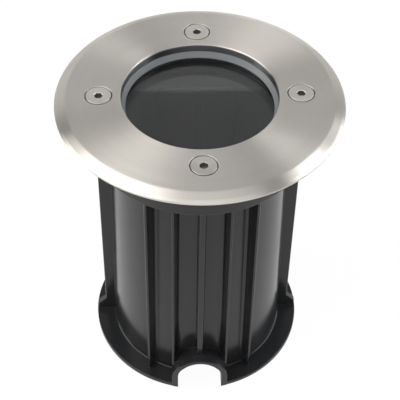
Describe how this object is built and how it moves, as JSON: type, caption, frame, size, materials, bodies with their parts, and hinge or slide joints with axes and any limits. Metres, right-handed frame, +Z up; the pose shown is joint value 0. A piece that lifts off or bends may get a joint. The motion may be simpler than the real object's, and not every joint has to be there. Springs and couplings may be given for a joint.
{
  "type": "in ground well light",
  "caption": "Round in-ground light: bevelled steel trim with a glass window, sealed lamp pot and a ribbed ground sleeve with cable arches.",
  "frame": {"origin": "centre of the ground sleeve's foot on the plane that it stands on", "axes": "+Z up along the common axis of sleeve, pot and trim; -Y through the front cable arch and the cable gland; +X to the right"},
  "size_m": [0.11, 0.11, 0.1286],
  "materials": {
    "sleeve_plastic": "satin",
    "pot_plastic": "satin",
    "insert_brass": "satin",
    "trim_steel": "brushed",
    "screw_steel": "satin",
    "seal_rubber": "matte",
    "lens_glass": "gloss",
    "gasket_silicone": "satin",
    "bracket_paint": "satin",
    "zinc_steel": "satin",
    "holder_ceramic": "satin",
    "contact_brass": "satin",
    "block_plastic": "satin",
    "lead_brown": "satin",
    "lead_blue": "satin",
    "gland_plastic": "satin"
  },
  "bodies": {
    "sleeve": {"ground_sleeve": "sleeve_plastic"},
    "pot": {"lamp_pot": "pot_plastic", "pot_flange": "pot_plastic", "screw_inserts": "insert_brass", "lamp_bracket": "bracket_paint", "bracket_plate": "bracket_paint", "bracket_screws": "zinc_steel", "lampholder": "holder_ceramic", "lampholder_contacts": "contact_brass", "lampholder_screws": "zinc_steel", "terminal_block": "block_plastic", "terminal_clamps": "contact_brass", "terminal_screws": "zinc_steel", "lead_live": "lead_brown", "lead_neutral": "lead_blue", "gland_body": "gland_plastic", "gland_washer": "seal_rubber", "gland_locknut": "gland_plastic"},
    "trim": {"trim_ring": "trim_steel"},
    "lens": {"glass_lens": "lens_glass", "lens_gasket": "gasket_silicone"},
    "front_washer": {"washer_front": "seal_rubber"},
    "right_washer": {"washer_right": "seal_rubber"},
    "back_washer": {"washer_back": "seal_rubber"},
    "left_washer": {"washer_left": "seal_rubber"},
    "front_screw": {"screw_front": "screw_steel"},
    "right_screw": {"screw_right": "screw_steel"},
    "back_screw": {"screw_back": "screw_steel"},
    "left_screw": {"screw_left": "screw_steel"},
    "seal": {"gland_insert": "seal_rubber"},
    "nut": {"gland_nut": "gland_plastic"}
  },
  "joints": [
    {"name": "unit_lift", "type": "slide", "parent": "sleeve", "child": "pot", "axis": [0, 0, 1], "range_m": [0, 0.1]},
    {"name": "trim_lift", "type": "slide", "parent": "pot", "child": "trim", "axis": [0, 0, 1], "range_m": [0, 0.03]},
    {"name": "lens_lift", "type": "slide", "parent": "pot", "child": "lens", "axis": [0, 0, 1], "range_m": [0, 0.0151]},
    {"name": "front_screw_rise", "type": "slide", "parent": "trim", "child": "front_washer", "axis": [0, 0, 1], "range_m": [0, 0.0104]},
    {"name": "right_screw_rise", "type": "slide", "parent": "trim", "child": "right_washer", "axis": [0, 0, 1], "range_m": [0, 0.0104]},
    {"name": "back_screw_rise", "type": "slide", "parent": "trim", "child": "back_washer", "axis": [0, 0, 1], "range_m": [0, 0.0104]},
    {"name": "left_screw_rise", "type": "slide", "parent": "trim", "child": "left_washer", "axis": [0, 0, 1], "range_m": [0, 0.0104]},
    {"name": "front_screw_turn", "type": "hinge", "parent": "front_washer", "child": "front_screw", "pos_m": [0, -0.03825, 0.127], "axis": [0, 0, 1], "range_deg": [0, 4690]},
    {"name": "right_screw_turn", "type": "hinge", "parent": "right_washer", "child": "right_screw", "pos_m": [0.03825, 0, 0.127], "axis": [0, 0, 1], "range_deg": [0, 4690]},
    {"name": "back_screw_turn", "type": "hinge", "parent": "back_washer", "child": "back_screw", "pos_m": [0, 0.03825, 0.127], "axis": [0, 0, 1], "range_deg": [0, 4690]},
    {"name": "left_screw_turn", "type": "hinge", "parent": "left_washer", "child": "left_screw", "pos_m": [-0.03825, 0, 0.127], "axis": [0, 0, 1], "range_deg": [0, 4690]},
    {"name": "seal_drop", "type": "slide", "parent": "pot", "child": "seal", "axis": [0, 0, -1], "range_m": [0, 0.0091]},
    {"name": "nut_turn", "type": "hinge", "parent": "seal", "child": "nut", "pos_m": [0, -0.018, 0.02], "axis": [0, 0, -1], "range_deg": [0, 2160]}
  ],
  "couplings": [
    {"joint": "lens_lift", "follows": "trim_lift", "ratio": 0.5},
    {"joint": "front_screw_turn", "follows": "front_screw_rise", "rad_per_m": 7854},
    {"joint": "right_screw_turn", "follows": "right_screw_rise", "rad_per_m": 7854},
    {"joint": "back_screw_turn", "follows": "back_screw_rise", "rad_per_m": 7854},
    {"joint": "left_screw_turn", "follows": "left_screw_rise", "rad_per_m": 7854},
    {"joint": "seal_drop", "follows": "nut_turn", "m_per_rad": 0.00023873}
  ]
}
